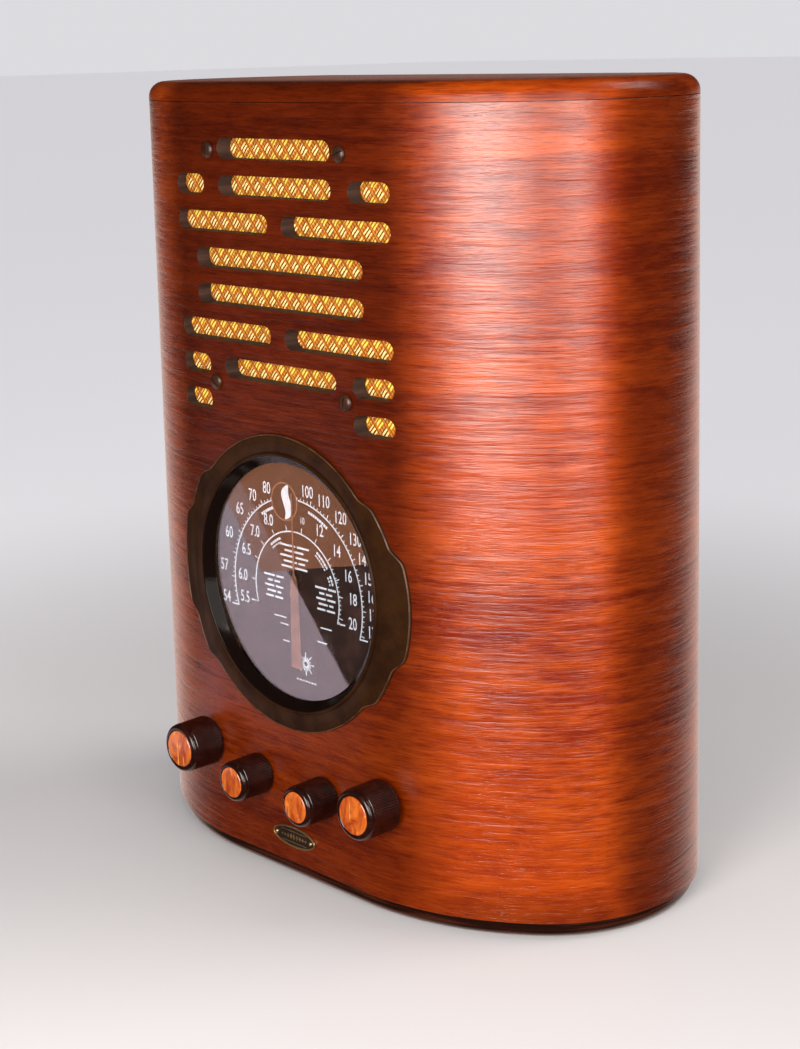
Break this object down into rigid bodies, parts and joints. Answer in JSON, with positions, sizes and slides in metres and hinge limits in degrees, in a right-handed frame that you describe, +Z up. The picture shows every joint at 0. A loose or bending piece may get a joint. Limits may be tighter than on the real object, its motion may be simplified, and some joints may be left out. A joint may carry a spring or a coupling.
{
  "type": "table radio",
  "caption": "Upright valve-era table radio: bent veneered case with rounded sides, slotted grille over cloth, round dial, turning knobs and chassis inside.",
  "frame": {"origin": "middle of the overall box, on the ground plane", "axes": "+Z up, -Y out of the front with the knobs, +X to the right seen from the front"},
  "size_m": [0.325, 0.1764, 0.395],
  "materials": {
    "veneer": "gloss lacquer over a dark toner",
    "dark_base": "gloss, nearly black",
    "baffle_board": "raw board",
    "grille_cloth": "woven, diagonal pattern",
    "dark_bronze": "dark bronze lacquer, satin",
    "dial_glass": "clear",
    "dial_face": "satin, light print",
    "pointer": "copper coloured",
    "brass": "dull",
    "knob": "gloss, finely fluted",
    "amber_insert": "mottled amber",
    "steel": "turned",
    "plated_steel": "dull plated",
    "iron": "dark",
    "painted_steel": "black paint",
    "aluminium": "plain",
    "valve_glass": "clear with a silvered top",
    "valve_base": "moulded",
    "rubber": "plain",
    "cone_paper": "pressed paper"
  },
  "bodies": {
    "cabinet": {"baffle_board": "baffle_board", "baffle_screw_1": "dark_bronze", "baffle_screw_2": "dark_bronze", "baffle_screw_3": "dark_bronze", "baffle_screw_4": "dark_bronze", "band_control": "plated_steel", "base_board": "dark_base", "cabinet_shell": "veneer", "chassis": "plated_steel", "cord_grommet": "rubber", "dial_escutcheon": "dark_bronze", "dial_glass": "dial_glass", "dial_lamp": "valve_glass", "dial_plate": "dial_face", "drive_belt": "rubber", "filter_capacitor": "aluminium", "gang_bracket": "plated_steel", "gang_frame": "plated_steel", "gang_stator": "aluminium", "grille_cloth": "grille_cloth", "if_can": "aluminium", "lamp_holder": "steel", "nameplate": "brass", "speaker_cone": "cone_paper", "speaker_frame": "painted_steel", "speaker_magnet": "iron", "tone_control": "plated_steel", "top_board": "veneer", "transformer_base": "painted_steel", "transformer_core": "iron", "transformer_cover": "painted_steel", "tuning_bearing": "brass", "valve_1": "valve_glass", "valve_2": "valve_glass", "valve_3": "valve_glass", "valve_4": "valve_glass", "valve_5": "valve_glass", "valve_base_1": "valve_base", "valve_base_2": "valve_base", "valve_base_3": "valve_base", "valve_base_4": "valve_base", "valve_base_5": "valve_base", "volume_control": "plated_steel"},
    "volume": {"volume_knob": "knob", "volume_insert": "amber_insert", "volume_shaft": "steel"},
    "tone": {"tone_knob": "knob", "tone_insert": "amber_insert", "tone_shaft": "steel"},
    "band": {"band_knob": "knob", "band_insert": "amber_insert", "band_shaft": "steel"},
    "tuning": {"tuning_knob": "knob", "tuning_insert": "amber_insert", "tuning_shaft": "steel"},
    "gang": {"gang_rotor": "aluminium", "drive_drum": "brass"},
    "pointer": {"dial_pointer": "pointer"}
  },
  "joints": [
    {"name": "volume_turn", "type": "hinge", "parent": "cabinet", "child": "volume", "pos_m": [-0.0658, -0.06785, 0.0573], "axis": [0, 1, 0], "range_deg": [-150, 150]},
    {"name": "tone_turn", "type": "hinge", "parent": "cabinet", "child": "tone", "pos_m": [-0.0243, -0.06785, 0.05], "axis": [0, 1, 0], "range_deg": [-150, 150]},
    {"name": "band_turn", "type": "hinge", "parent": "cabinet", "child": "band", "pos_m": [0.0243, -0.06785, 0.05], "axis": [0, 1, 0], "range_deg": [-30, 30]},
    {"name": "tuning_turn", "type": "hinge", "parent": "cabinet", "child": "tuning", "pos_m": [0.0658, -0.06785, 0.0573], "axis": [0, 1, 0], "range_deg": [-540, 540]},
    {"name": "gang_turn", "type": "hinge", "parent": "cabinet", "child": "gang", "pos_m": [0, -0.03385, 0.1467], "axis": [0, 1, 0], "range_deg": [-90, 90]},
    {"name": "pointer_turn", "type": "hinge", "parent": "cabinet", "child": "pointer", "pos_m": [0, -0.06185, 0.1467], "axis": [0, 1, 0], "range_deg": [-107, 107]}
  ],
  "couplings": [
    {"joint": "gang_turn", "follows": "tuning_turn", "ratio": 0.16666},
    {"joint": "pointer_turn", "follows": "tuning_turn", "ratio": 0.198}
  ]
}
